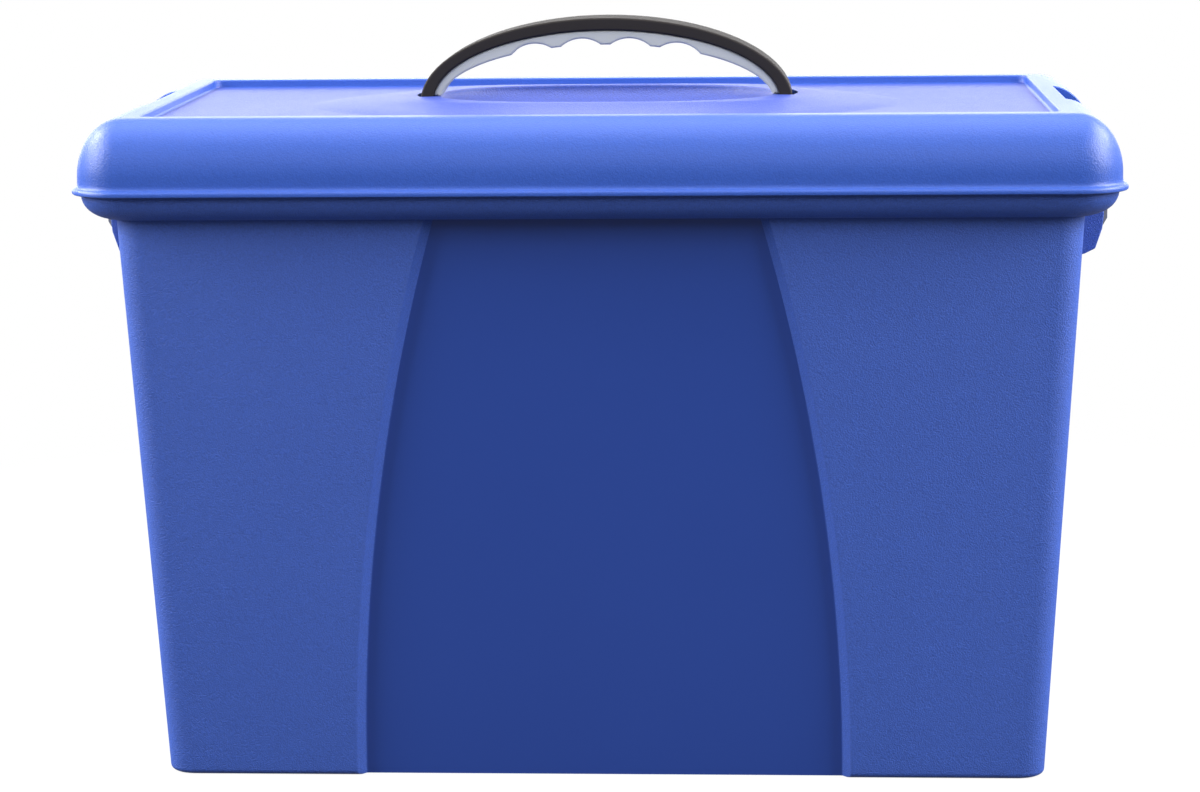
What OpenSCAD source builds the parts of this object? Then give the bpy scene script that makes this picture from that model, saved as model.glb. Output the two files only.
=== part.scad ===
// Portable file box: a drafted tub with a hanging-file ledge, a lift-off lid with a carry handle,
// and a swing latch at each end.  Millimetres, +Z up, front is -Y, origin at the centre of the base.

/* [Tub] */
// Width of the base over the end walls
base_w = 375; // [300:0.2:420]
// Depth of the base over the front and back walls
base_d = 177.2; // [140:0.2:220]
// Height from the base to the underside of the rim shoulder
wall_h = 241.3; // [200:0.1:300]
// How far each wall leans out from the base to the shoulder
draft_out = 12.1; // [6:0.2:20]
// Wall thickness of the tub
tub_wall = 2.6; // [2:0.1:4]
// Radius of the tub's upright corners
tub_corner_r = 10; // [6:0.5:16]
// Radius of the edge round the base
base_edge_r = 2.5; // [1.5:0.5:9]
// Fillet round the floor inside the tub
floor_fillet = 3; // [1:0.5:5]
// How far the rim shoulder overhangs the wall
shoulder_out = 13.2; // [11:0.1:16]
// Height of the rounded rim shoulder
shoulder_h = 10.7; // [7:0.1:14]
// Radius of the shoulder's corners in plan
shoulder_corner_r = 18; // [14:0.5:24]
// Height of the lip that stands up inside the lid
lip_h = 5.8; // [3:0.1:8]
// Gap between the lip and the inside of the lid
lip_gap = 0.8; // [0.4:0.1:1.2]

/* [Front and back panels] */
// Half-width of the sunk panel at the base
panel_half_w = 105.3; // [80:0.1:120]
// Radius of the long arc of the panel's side edges
panel_arc_r = 855; // [600:5:1500]
// Depth of the sunk panel
panel_depth = 4.5; // [2:0.1:6]
// Width of the sloped step round the panel
panel_step = 3.4; // [1:0.1:5]

/* [Lid] */
// How far the lid's skirt stands outside the tub's shoulder
skirt_out = 1.3; // [0.8:0.1:2]
// Height of the lid from its bottom edge to the crest
lid_h = 30.8; // [30:0.1:44]
// Wall thickness of the lid
lid_wall = 2.6; // [2:0.1:3.2]
// Width of the round-over between skirt and crest
round_w = 18.9; // [17.6:0.1:20]
// Height of the round-over between skirt and crest
round_h = 24; // [21:0.1:25]
// How far the bead stands out from the skirt
bead_out = 2.3; // [1:0.1:3]
// Height of the bead
bead_h = 2.6; // [1.8:0.1:3.4]
// Depth of the shallow recess in the lid's top
recess_depth = 3.6; // [2:0.1:4.4]
// Width of the border between crest and recess
border_w = 5.9; // [4:0.1:9]
// Softness of the recess's edges
recess_edge = 1.2; // [0.4:0.1:2]
// Corner radius of the recess
recess_corner_r = 5; // [3:0.5:12]
// Gap between the lid's bottom edge and the tub's shoulder
lid_seat_gap = 0.3; // [0.2:0.05:0.5]

/* [Finger scoop and its raised pad] */
// Half-length of the scoop under the handle
scoop_half_l = 72.4; // [60:0.1:73]
// Half-width of the scoop, front to back
scoop_half_w = 43; // [30:0.5:50]
// Depth of the scoop
scoop_depth = 10; // [6:0.5:12]
// Exponent of the scoop's blunt oval outline
scoop_power = 2.6; // [2:0.1:4]
// Half-width of the pad where it meets the recess border
pad_front_half_w = 58; // [40:1:70]
// Width of the flat rim of the pad round the scoop
pad_rim = 4; // [3:0.5:8]
// Height of the pad's rim above the crest
pad_rise = 0.8; // [0.2:0.1:2]
// Length of the gentle slope at each end of the pad
pad_end_slope = 46; // [10:1:60]

/* [Handle] */
// Half-span of the arch, to its outer face
arch_half_span = 81; // [78:0.1:90]
// Height of the arch above its springing line
arch_rise = 36.2; // [30:0.1:50]
// Height of the springing line above the crest
arch_spring = -2; // [-3:0.1:-1]
// Thickness of the strap
strap_t = 5.4; // [4:0.1:7]
// Width of the strap, front to back
strap_w = 24; // [18:0.5:28]
// Thickness of the grip at the middle of the arch
grip_t = 6.2; // [5:0.1:9]
// Thickness of the grip at its feet
grip_foot_t = 3; // [2:0.1:4]
// Width of the grip, front to back
grip_w = 22; // [16:0.5:26]
// Number of finger hollows in the grip
finger_count = 4; // [2:1:4]
// Distance between finger hollows
finger_pitch = 20.4; // [19:0.1:22]
// Radius of a finger hollow
finger_r = 13.6; // [12:0.1:18]
// Depth of a finger hollow
finger_depth = 2.9; // [1.5:0.1:3.2]
// Width of the tongue that keys the grip into the strap
tongue_w = 10; // [6:0.5:14]
// Height of that tongue
tongue_h = 2; // [1:0.1:3]
// How far the barbs of the feet reach inward under the lid
barb_out = 2.2; // [1.2:0.1:2.4]
// Length of the feet below the springing line
foot_l = 8; // [6:0.5:10]
// Free play outside each foot in its slot
slot_play = 2.2; // [1:0.1:3]
// Gap on the other sides of each foot in its slot
slot_gap = 0.4; // [0.2:0.1:0.8]
// Gap round the tongue in the strap's groove
tongue_gap = 0.2; // [0.1:0.05:0.4]
// Height of the grip's feet above the pad
grip_clear = 0.2; // [0.1:0.1:1]

/* [Latches] */
// Width of a latch's upper part, which hooks into the lid's notch
latch_w = 62.4; // [40:0.2:76]
// Width of a latch's lower part, which turns between the ears
latch_foot_w = 84; // [80:0.2:110]
// Gap between the lower part and the lid's bottom edge
latch_foot_gap = 1.5; // [1:0.1:3]
// How far the latch's outer face lies inside the skirt's face
latch_inset = 0.2; // [0:0.1:1]
// Thickness of a latch's plate
latch_t = 3; // [2.4:0.1:3.2]
// Gap between a latch and what lies behind it
latch_gap = 0.4; // [0.3:0.05:0.5]
// Gap at each side of a latch
latch_side_gap = 0.6; // [0.4:0.05:1]
// How far the latch's top lies below the round-over's own height
latch_sink = 3; // [2:0.1:4]
// Distance from the crest's edge out to the end wall of the lid's notch
notch_in = 1.8; // [1:0.1:3]
// Gap between the hook's end and that wall, where a fingertip goes in
hook_end_gap = 7.4; // [0.6:0.1:9]
// Height of the latch pivot below the shoulder's underside
pivot_drop = 14.3; // [13:0.1:18]
// Distance of the latch pivot inward from the shoulder's outer face
pivot_in = 6.6; // [6:0.1:7.4]
// Outer radius of the latch's barrel
barrel_r = 4; // [3.4:0.1:4.4]
// Radius of the hinge pin
pin_r = 1.5; // [1.2:0.05:2]
// Running clearance of the latch on its pin
pin_gap = 0.06; // [0.03:0.01:0.09]
// Clearance of the pin in the ears
ear_pin_gap = 0.02; // [0.01:0.01:0.05]
// Thickness of an ear
ear_t = 3.5; // [2.5:0.1:5]
// How far an ear reaches below the latch pivot
ear_drop = 8.6; // [6:0.1:10]
// How far the ears' outer edge lies inside the shoulder's face
ear_inset = 0.8; // [0.4:0.1:1.2]
// Height of the grip ribs on the latch's outer face
rib_h = 0.8; // [0.4:0.1:1]
// Number of grip ribs
rib_count = 3; // [2:1:4]
// Distance between grip ribs
rib_pitch = 3.2; // [2:0.1:4]

/* [Hidden] */
eps = 0.01;
lip_edge = 0.6;
least_r = 2;
clear = 2;
corner_steps = 7;
round_steps = 8;
panel_steps = 14;
arch_steps = 44;
scoop_steps = 60;
bowl_steps = 6;
blue = [0.16, 0.28, 0.72];
black = [0.14, 0.14, 0.16];
grey = [0.60, 0.63, 0.72];
steel = [0.72, 0.72, 0.74];

// Heights, from the base up
shoulder_z = wall_h + shoulder_h;
lip_z = shoulder_z + lip_h;
lid_z = shoulder_z + lid_seat_gap;
crest_z = lid_z + lid_h;
recess_z = crest_z - recess_depth;
round_z = crest_z - round_h;
pad_z = crest_z + pad_rise;
spring_z = crest_z + arch_spring;
pivot_z = wall_h - pivot_drop;

// Half-widths along X; each half-depth along Y is smaller by the same amount
half_diff = (base_w - base_d) / 2;
base_x = base_w / 2;
wall_x = base_x + draft_out;
shoulder_x = wall_x + shoulder_out;
skirt_x = shoulder_x + skirt_out;
crest_x = skirt_x - round_w;
recess_x = crest_x - border_w;
skirt_corner_r = shoulder_corner_r + skirt_out;
lip_x = skirt_x - lid_wall - lip_gap;
lip_in_x = lip_x - tub_wall;

// Latch lines
latch_out_x = skirt_x - latch_inset;
latch_in_x = latch_out_x - latch_t;
seat_x = latch_in_x - latch_gap;
seat_in_x = seat_x - lid_wall;
pivot_x = shoulder_x - pivot_in;
notch_x = crest_x + notch_in;
hook_x = notch_x + hook_end_gap;
notch_half_w = latch_w / 2 + latch_side_gap;
ear_in_y = latch_foot_w / 2 + latch_side_gap;
foot_top_z = lid_z - latch_foot_gap;
recess_y = recess_x - half_diff;

// The hinge pin starts inside the front ear, where its hole is blind, and ends inside the rear ear
pin_front_y = ear_in_y + ear_t * 0.7;
pin_back_y = ear_in_y + ear_t - 0.3;

// Half-width of the outer wall at height z
function wall_at(z) = base_x + draft_out * z / wall_h;

// Half-width of the panel's outline at height z
function panel_at(z) = panel_half_w - panel_arc_r + sqrt(panel_arc_r * panel_arc_r - z * z);

// A rounded rectangle as a ring of points at height z
function ring(hx, hy, r, z) = [
  for (corner = [0:3])
    for (step = [0:corner_steps])
      let (
        sx = (corner == 0 || corner == 3) ? 1 : -1,
        sy = corner < 2 ? 1 : -1,
        a = 90 * (corner + step / corner_steps)
      )
      [sx * (hx - r) + r * cos(a), sy * (hy - r) + r * sin(a), z]
];

// The same ring, sized by its half-width along X only
function box_ring(hx, r, z) = ring(hx, hx - half_diff, r, z);

// A blunt oval as a ring of points at height z
function oval_ring(hx, hy, power, z) = [
  for (step = [0:scoop_steps - 1])
    let (
      a = 360 * step / scoop_steps,
      c = cos(a),
      s = sin(a)
    )
    [hx * sign(c) * pow(abs(c), 2 / power), hy * sign(s) * pow(abs(s), 2 / power), z]
];

// A closed skin through a list of rings that have the same number of points
module loft(rings) {
  n = len(rings[0]);
  last = len(rings) - 1;
  sides = [
    for (k = [0:last - 1])
      for (i = [0:n - 1])
        let (
          j = (i + 1) % n,
          a = k * n + i,
          b = (k + 1) * n + i,
          c = (k + 1) * n + j,
          d = k * n + j
        )
        each [[a, b, c], [a, c, d]]
  ];
  bottom = [for (i = [0:n - 1]) i];
  top = [for (i = [0:n - 1]) last * n + n - 1 - i];
  polyhedron(points = [for (r = rings) each r], faces = concat([bottom, top], sides), convexity = 8);
}

// An outline drawn in X and Z, made solid over a width along Y
module across(width) {
  rotate([90, 0, 0])
    linear_extrude(height = width, center = true)
      children();
}

// Quarter of an ellipse as X-Z points, from its outer end at angle a0 to angle a1
function ellipse_arc(cx, cz, rx, rz, a0, a1, steps) = [
  for (i = [0:steps])
    let (a = a0 + (a1 - a0) * i / steps)
    [cx + rx * cos(a), cz + rz * sin(a)]
];

// ---------------------------------------------------------------- tub

// Outer form of the tub up to the top of its lip
module tub_outside() {
  edge = [
    for (a = [0:30:90])
      let (z = base_edge_r * (1 - cos(a)))
      box_ring(wall_at(z) - base_edge_r * (1 - sin(a)), tub_corner_r, z)
  ];
  shoulder = [
    for (i = [0:round_steps])
      let (a = 90 * i / round_steps)
      box_ring(
        wall_x + shoulder_out * sin(a),
        tub_corner_r + (shoulder_corner_r - tub_corner_r) * sin(a),
        shoulder_z - shoulder_h * cos(a)
      )
  ];
  lip_r = shoulder_corner_r - (shoulder_x - lip_x);
  lip = [
    box_ring(lip_x, lip_r, shoulder_z + eps),
    box_ring(lip_x, lip_r, lip_z - lip_edge),
    box_ring(lip_x - lip_edge, lip_r - lip_edge, lip_z)
  ];
  loft(concat(edge, shoulder, lip));
}

// Space inside the tub: walls, then the ledge that hanging files rest on, then the lip
module tub_inside() {
  in_r = tub_corner_r - tub_wall;
  ledge_z = wall_h + tub_wall;
  ledge_r = shoulder_corner_r - (shoulder_x - lip_in_x);
  floor_edge = [
    for (a = [0:30:90])
      let (z = tub_wall + floor_fillet * (1 - cos(a)))
      box_ring(wall_at(z) - tub_wall - floor_fillet * (1 - sin(a)), in_r, z)
  ];
  loft(concat(floor_edge, [
    box_ring(wall_x - tub_wall, in_r, ledge_z),
    box_ring(lip_in_x, ledge_r, ledge_z + eps),
    box_ring(lip_in_x, ledge_r, lip_z + clear)
  ]));
}

// The sunk panel of the front wall: grow makes the thicker copy that keeps the wall even inside
module panel_block(grow) {
  z_low = -clear;
  z_high = wall_h + grow;
  loft([
    for (i = [0:panel_steps])
      let (
        z = z_low + (z_high - z_low) * i / panel_steps,
        face_y = -(wall_at(z) - half_diff),
        half_w = panel_at(max(z, 0)) + grow
      )
      [
        [-half_w, face_y - clear, z],
        [half_w, face_y - clear, z],
        [half_w, face_y, z],
        [half_w - panel_step, face_y + panel_depth + grow, z],
        [-half_w + panel_step, face_y + panel_depth + grow, z],
        [-half_w, face_y, z]
      ]
  ]);
}

module both_panels(grow) {
  for (turn = [0, 180])
    rotate([0, 0, turn])
      panel_block(grow);
}

// Side outline of an ear: up inside the shoulder, down to the rounded lower corner
module ear_outline() {
  wall_in = wall_at(pivot_z) - tub_wall / 2;
  top_in = wall_h + tub_wall / 2;
  low_z = pivot_z - ear_drop;
  out_x = shoulder_x - ear_inset;
  chamfer = ear_drop * 0.28;
  polygon([
    [wall_in, low_z],
    [pivot_x - chamfer, low_z],
    [pivot_x + chamfer, low_z + chamfer],
    [out_x - ear_inset * 0.7, pivot_z + chamfer],
    [out_x, pivot_z + ear_drop],
    [out_x, shoulder_z],
    [seat_in_x + tub_wall / 4, shoulder_z],
    [seat_in_x + tub_wall / 4, top_in],
    [wall_in, top_in]
  ]);
}

module ears() {
  for (side = [-1, 1])
    translate([0, side * (ear_in_y + ear_t / 2), 0])
      across(ear_t)
        ear_outline();
}

// A round bar along the hinge line, from the front ear back to back_y
module hinge_bar(radius, front_y, back_y) {
  translate([pivot_x, back_y, pivot_z])
    rotate([90, 0, 0])
      cylinder(r = radius, h = front_y + back_y, $fn = 48);
}

module tub_end_cut() {
  // room for the latch in front of the shoulder's upright wall
  translate([seat_x, -ear_in_y, pivot_z])
    cube([shoulder_x, 2 * ear_in_y, lip_z]);
  // the lip stops short of the lid's latch pocket
  translate([seat_in_x - lip_gap, -notch_half_w - lid_wall - lip_gap, shoulder_z])
    cube([shoulder_x, 2 * (notch_half_w + lid_wall + lip_gap), lip_h + clear]);
  // pin hole, blind in the front ear and open at the rear one
  hinge_bar(pin_r + ear_pin_gap, pin_front_y + pin_gap, ear_in_y + ear_t + clear);
}

module tub() {
  color(blue)
    difference() {
      union() {
        difference() {
          tub_outside();
          both_panels(0);
          difference() {
            tub_inside();
            both_panels(tub_wall);
          }
        }
        for (turn = [0, 180])
          rotate([0, 0, turn])
            ears();
      }
      for (side = [0, 1])
        mirror([side, 0, 0])
          tub_end_cut();
    }
}

// ---------------------------------------------------------------- lid

// Corner radius of a lid ring that lies inset from the skirt
function lid_corner(inset) = max(skirt_corner_r - inset, least_r + 1);

module lid_outside() {
  // shares of the bead's reach and of its height, from the bottom edge up to where its fillet ends
  bead = [
    for (share = [[0.6, 0], [1, 0.2], [1, 0.5], [0.86, 0.78], [0.5, 0.98], [0.15, 1.2], [0.02, 1.7]])
      let (out = bead_out * share[0])
      box_ring(skirt_x + out, skirt_corner_r + out, lid_z + bead_h * share[1])
  ];
  over = [
    for (i = [0:round_steps])
      let (
        a = 90 * i / round_steps,
        inset = round_w * (1 - cos(a))
      )
      box_ring(skirt_x - inset, lid_corner(inset), round_z + round_h * sin(a))
  ];
  loft(concat(bead, over));
}

// Space under the lid
module lid_inside() {
  rz = round_h - recess_depth - lid_wall;
  over = [
    for (i = [0:round_steps])
      let (
        a = 90 * i / round_steps,
        inset = (round_w - lid_wall) * (1 - cos(a))
      )
      box_ring(skirt_x - lid_wall - inset, max(lid_corner(inset) - lid_wall, least_r), round_z + rz * sin(a))
  ];
  loft(concat([box_ring(skirt_x - lid_wall, skirt_corner_r - lid_wall, lid_z - clear)], over));
}

module lid_recess() {
  loft([
    ring(recess_x - recess_edge, recess_y - recess_edge, recess_corner_r, recess_z),
    ring(recess_x - recess_edge / 3, recess_y - recess_edge / 3, recess_corner_r, recess_z + recess_edge / 2),
    ring(recess_x, recess_y, recess_corner_r, crest_z - recess_edge / 3),
    ring(recess_x + recess_edge, recess_y + recess_edge, recess_corner_r, crest_z + recess_edge)
  ]);
}

// Raised pad round the scoop, sloping down to the front and back borders and gently to its ends
module pad_form(low_z, high_z) {
  end_x = arch_half_span + slot_play + pad_rim / 2;
  foot_x = end_x + pad_end_slope;
  waist_y = scoop_half_w * 0.55;
  hull() {
    translate([0, 0, low_z])
      linear_extrude(height = eps)
        polygon([
          [foot_x, -waist_y],
          [foot_x, waist_y],
          [pad_front_half_w, recess_y],
          [-pad_front_half_w, recess_y],
          [-foot_x, waist_y],
          [-foot_x, -waist_y],
          [-pad_front_half_w, -recess_y],
          [pad_front_half_w, -recess_y]
        ]);
    translate([0, 0, high_z - eps])
      linear_extrude(height = eps)
        polygon([
          for (p = oval_ring(end_x, scoop_half_w + pad_rim, scoop_power + 1, 0))
            [p[0], p[1]]
        ]);
  }
}

// Finger scoop: grow makes the thicker copy that keeps its floor even below
module scoop(grow) {
  loft([
    for (i = [bowl_steps:-1:0])
      let (
        a = 84 * i / bowl_steps,
        k = pow(cos(a), 0.8)
      )
      oval_ring(
        scoop_half_l * k + grow,
        scoop_half_w * k + grow,
        scoop_power,
        i == 0 ? pad_z + clear : crest_z - (scoop_depth + grow) * sin(a)
      )
  ]);
}

// Side outline of the latch pocket, outward from a seat line that curves over towards the crest
module pocket_outline(seat, top_rise) {
  polygon(concat(
    [[seat, lid_z - clear]],
    ellipse_arc(crest_x, round_z, seat - crest_x, top_rise, 0, 90, 12),
    [
      [crest_x, crest_z + clear],
      [skirt_x + 2 * bead_out, crest_z + clear],
      [skirt_x + 2 * bead_out, lid_z - clear]
    ]
  ));
}

seat_rise = round_h - latch_sink - latch_t - latch_gap;

module pocket_cut() {
  intersection() {
    across(2 * notch_half_w)
      pocket_outline(seat_x, seat_rise);
    translate([notch_x, -notch_half_w - clear, lid_z - clear])
      cube([skirt_x, 2 * (notch_half_w + clear), lid_h + 3 * clear]);
  }
}

module pocket_wall() {
  intersection() {
    across(2 * (notch_half_w + lid_wall))
      pocket_outline(seat_in_x, seat_rise - lid_wall);
    translate([notch_x - lid_wall, -notch_half_w - lid_wall - clear, lid_z - clear])
      cube([skirt_x, 2 * (notch_half_w + lid_wall + clear), lid_h + 3 * clear]);
  }
}

// Slots that the feet of the handle go through, each with a narrower bay outside the foot
module foot_slots() {
  in_x = arch_half_span - strap_t - 2 * slot_gap;
  near_x = arch_half_span + slot_gap;
  bay_x = arch_half_span + slot_play;
  half_w = strap_w / 2 + slot_gap;
  for (side = [0, 1])
    mirror([side, 0, 0])
      translate([0, 0, recess_z - foot_l])
        linear_extrude(height = 2 * foot_l)
          polygon([
            [in_x, -half_w], [near_x, -half_w], [bay_x, -half_w / 3],
            [bay_x, half_w / 3], [near_x, half_w], [in_x, half_w]
          ]);
}

module lid() {
  color(blue)
    difference() {
      union() {
        difference() {
          lid_outside();
          lid_recess();
        }
        pad_form(recess_z - eps, pad_z);
      }
      difference() {
        union() {
          lid_inside();
          pad_form(recess_z - lid_wall - eps, pad_z - lid_wall);
        }
        scoop(lid_wall);
        for (turn = [0, 180])
          rotate([0, 0, turn])
            pocket_wall();
      }
      scoop(0);
      foot_slots();
      for (turn = [0, 180])
        rotate([0, 0, turn])
          pocket_cut();
    }
}

// ---------------------------------------------------------------- handle

inner_rx = arch_half_span - strap_t;
inner_rz = arch_rise - strap_t;
tongue_z = pad_z + 2 * tongue_h;

// Closed half-ellipse above the springing line
module half_ellipse(rx, rz) {
  polygon(ellipse_arc(0, spring_z, rx, rz, 0, 180, arch_steps));
}

// Barbed foot below the springing line, from its inner face round to its outer face
barb_foot = [
  [inner_rx, spring_z - foot_l * 0.2],
  [inner_rx - barb_out, spring_z - foot_l * 0.3],
  [inner_rx - barb_out, spring_z - foot_l * 0.5],
  [inner_rx, spring_z - foot_l],
  [arch_half_span, spring_z - foot_l]
];

// The whole strap in one outline: outer arch, left foot, inner arch, right foot
module strap_outline() {
  polygon(concat(
    ellipse_arc(0, spring_z, arch_half_span, arch_rise, 0, 180, arch_steps),
    [for (i = [len(barb_foot) - 1:-1:0]) [-barb_foot[i][0], barb_foot[i][1]]],
    ellipse_arc(0, spring_z, inner_rx, inner_rz, 180, 0, arch_steps),
    barb_foot
  ));
}

// Where the tongue runs: clear of the strap's feet, and shorter by gap at each end
module tongue_zone(gap) {
  translate([-inner_rx + gap, -strap_w, tongue_z + gap])
    cube([2 * (inner_rx - gap), 2 * strap_w, arch_rise]);
}

module handle_strap() {
  color(black)
    difference() {
      across(strap_w)
        strap_outline();
      intersection() {
        across(tongue_w + 2 * tongue_gap)
          half_ellipse(inner_rx + tongue_h + tongue_gap, inner_rz + tongue_h + tongue_gap);
        tongue_zone(0);
      }
    }
}

module finger_hollows() {
  under_z = spring_z + inner_rz - grip_t;
  for (i = [0:finger_count - 1]) {
    x = (i - (finger_count - 1) / 2) * finger_pitch;
    fall = (inner_rz - grip_t) * (1 - sqrt(1 - pow(x / (inner_rx - grip_foot_t), 2)));
    translate([x, under_z - fall + finger_depth - finger_r])
      circle(r = finger_r, $fn = 72);
  }
}

module handle_grip() {
  foot_z = pad_z + grip_clear;
  color(grey)
    union() {
      across(grip_w)
        difference() {
          half_ellipse(inner_rx, inner_rz);
          half_ellipse(inner_rx - grip_foot_t, inner_rz - grip_t);
          finger_hollows();
          translate([-inner_rx - clear, spring_z - clear])
            square([2 * (inner_rx + clear), foot_z - spring_z + clear]);
        }
      intersection() {
        across(tongue_w)
          difference() {
            half_ellipse(inner_rx + tongue_h, inner_rz + tongue_h);
            half_ellipse(inner_rx - eps, inner_rz - eps);
          }
        tongue_zone(tongue_gap);
      }
    }
}

// ---------------------------------------------------------------- latches

module latch_outline() {
  out_rx = latch_out_x - crest_x;
  out_rz = round_h - latch_sink;
  in_rx = latch_in_x - crest_x;
  in_rz = round_h - latch_sink - latch_t;
  out_end = acos((hook_x - crest_x) / out_rx);
  in_end = acos((hook_x - crest_x) / in_rx);
  polygon(concat(
    [
      [pivot_x, pivot_z],
      [pivot_x, pivot_z + barrel_r],
      [latch_in_x, pivot_z + 2 * barrel_r]
    ],
    ellipse_arc(crest_x, round_z, in_rx, in_rz, 0, in_end, 12),
    ellipse_arc(crest_x, round_z, out_rx, out_rz, out_end, 0, 12),
    [
      [latch_out_x, pivot_z + 1.6 * barrel_r],
      [pivot_x + barrel_r, pivot_z]
    ]
  ));
}

module latch_right_form() {
  difference() {
    union() {
      across(latch_w)
        latch_outline();
      across(latch_foot_w)
        intersection() {
          latch_outline();
          square([2 * skirt_x, foot_top_z]);
        }
      translate([pivot_x, 0, pivot_z])
        rotate([90, 0, 0])
          cylinder(r = barrel_r, h = latch_foot_w, center = true, $fn = 64);
      for (i = [0:rib_count - 1])
        translate([latch_out_x, 0, round_z - (i + 1) * rib_pitch])
          rotate([90, 0, 0])
            cylinder(r = rib_h, h = latch_w * 0.6, center = true, $fn = 24);
    }
    translate([pivot_x, 0, pivot_z])
      rotate([90, 0, 0])
        cylinder(r = pin_r + pin_gap, h = latch_foot_w + clear, center = true, $fn = 48);
  }
}

module latch_right() {
  color(grey)
    latch_right_form();
}

module latch_left() {
  color(grey)
    rotate([0, 0, 180])
      latch_right_form();
}

module latch_pin_right() {
  color(steel)
    hinge_bar(pin_r, pin_front_y, pin_back_y);
}

module latch_pin_left() {
  color(steel)
    mirror([1, 0, 0])
      hinge_bar(pin_r, pin_front_y, pin_back_y);
}

tub();
lid();
handle_strap();
handle_grip();
latch_left();
latch_right();
latch_pin_left();
latch_pin_right();
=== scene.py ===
# %% [markdown]
# # A portable file box, dressed around its CAD frame
# The box is a moulded tub with a lift-off lid, an arched handle and a latch at each end.
# The CAD part gives every place and size. This script keeps its small hard parts as they are, and
# builds smooth skins for the two big mouldings, because soft light shows every facet on them.

import math

import bpy
import numpy as np
from mathutils import Matrix, Vector


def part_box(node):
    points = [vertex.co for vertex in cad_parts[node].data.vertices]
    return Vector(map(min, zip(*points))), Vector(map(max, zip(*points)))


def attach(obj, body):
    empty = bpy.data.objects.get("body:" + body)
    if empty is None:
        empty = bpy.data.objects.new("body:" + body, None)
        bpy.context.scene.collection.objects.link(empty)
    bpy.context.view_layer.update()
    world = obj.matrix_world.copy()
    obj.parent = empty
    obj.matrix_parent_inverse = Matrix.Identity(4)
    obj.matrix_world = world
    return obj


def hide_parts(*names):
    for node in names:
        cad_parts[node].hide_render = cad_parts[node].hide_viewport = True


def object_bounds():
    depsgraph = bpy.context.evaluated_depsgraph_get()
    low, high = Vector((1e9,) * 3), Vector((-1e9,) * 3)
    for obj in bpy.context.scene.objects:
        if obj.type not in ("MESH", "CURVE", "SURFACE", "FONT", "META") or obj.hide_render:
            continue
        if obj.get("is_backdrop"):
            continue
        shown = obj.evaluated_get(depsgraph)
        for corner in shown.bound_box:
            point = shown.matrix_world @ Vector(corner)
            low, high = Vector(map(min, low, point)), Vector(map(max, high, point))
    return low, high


MM = 0.001
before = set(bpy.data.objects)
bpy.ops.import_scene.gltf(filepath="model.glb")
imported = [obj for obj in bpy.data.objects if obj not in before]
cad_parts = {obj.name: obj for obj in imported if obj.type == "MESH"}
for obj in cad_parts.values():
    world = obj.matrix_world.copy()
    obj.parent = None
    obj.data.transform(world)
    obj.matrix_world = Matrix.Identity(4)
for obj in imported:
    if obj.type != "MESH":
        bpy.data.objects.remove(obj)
cad_box = [list(corner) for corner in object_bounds()]
tub_lo, tub_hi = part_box("tub")
lid_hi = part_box("lid")[1]

# %% [markdown]
# ## The camera
# A product photograph like this is taken from a little above and to the right, with a long lens.
# The lens and place were fitted to straight edges of the box, so that the box's own lines give the
# view. The camera is made first, because everything else is judged through it.

# %% Camera
FRAME_WIDE = 1200
FOCAL_PIXELS = 3126.9
SENSOR = 36.0
CAMERA_AT = Vector((73.6, -1368.3, 402.4)) * MM
YAW, PITCH, ROLL = (math.radians(a) for a in (-3.274, 10.478, -0.629))


def camera_axes(yaw, pitch, roll):
    """The camera's right, up and back directions, from its three angles."""
    ahead = Vector((math.sin(yaw) * math.cos(pitch), math.cos(yaw) * math.cos(pitch), -math.sin(pitch)))
    right = Vector((math.cos(yaw), -math.sin(yaw), 0))
    up = right.cross(ahead)
    turned_right = right * math.cos(roll) + up * math.sin(roll)
    turned_up = up * math.cos(roll) - right * math.sin(roll)
    return turned_right, turned_up, -ahead


camera = bpy.data.objects.new("camera", bpy.data.cameras.new("camera"))
bpy.context.scene.collection.objects.link(camera)
bpy.context.scene.camera = camera
camera.data.sensor_width = SENSOR
camera.data.lens = SENSOR * FOCAL_PIXELS / FRAME_WIDE
camera.data.clip_end = 20
turn = Matrix(camera_axes(YAW, PITCH, ROLL)).transposed().to_4x4()
camera.matrix_world = Matrix.Translation(CAMERA_AT) @ turn
print("lens", round(camera.data.lens, 2), "mm")

# %% [markdown]
# ## Driving sizes
# These are the mouldings' own sizes, in metres. The frame gives the overall widths and heights, so
# only the sizes that a box cannot tell are written here. Every half-depth is smaller than its
# half-width by one fixed amount, because the walls lean and round over by the same amount all round.

# %% Sizes of the two mouldings
# both mouldings: the wall, and how much smaller a half-depth is than its half-width
WALL, HALF_DIFF = 2.6 * MM, 98.9 * MM
# the lid, from its rim upwards
LID_H, LID_GAP = 30.8 * MM, 0.3 * MM
BEAD_OUT, BEAD_H, SKIRT_OUT = 2.3 * MM, 2.6 * MM, 1.3 * MM
ROUND_W, ROUND_H = 18.9 * MM, 24 * MM
BORDER_W, RECESS_DEPTH, RECESS_EDGE, RECESS_R = 5.9 * MM, 3.6 * MM, 1.2 * MM, 5 * MM
PAD_RISE = 0.8 * MM
# the tub, from its base upwards
TUB_R, BASE_EDGE, FLOOR_FILLET, DRAFT = 10 * MM, 2.5 * MM, 3 * MM, 12.1 * MM
SHOULDER_OUT, SHOULDER_H, SHOULDER_R = 13.2 * MM, 10.7 * MM, 18 * MM
LIP_H, LIP_GAP = 5.8 * MM, 0.8 * MM

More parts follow.
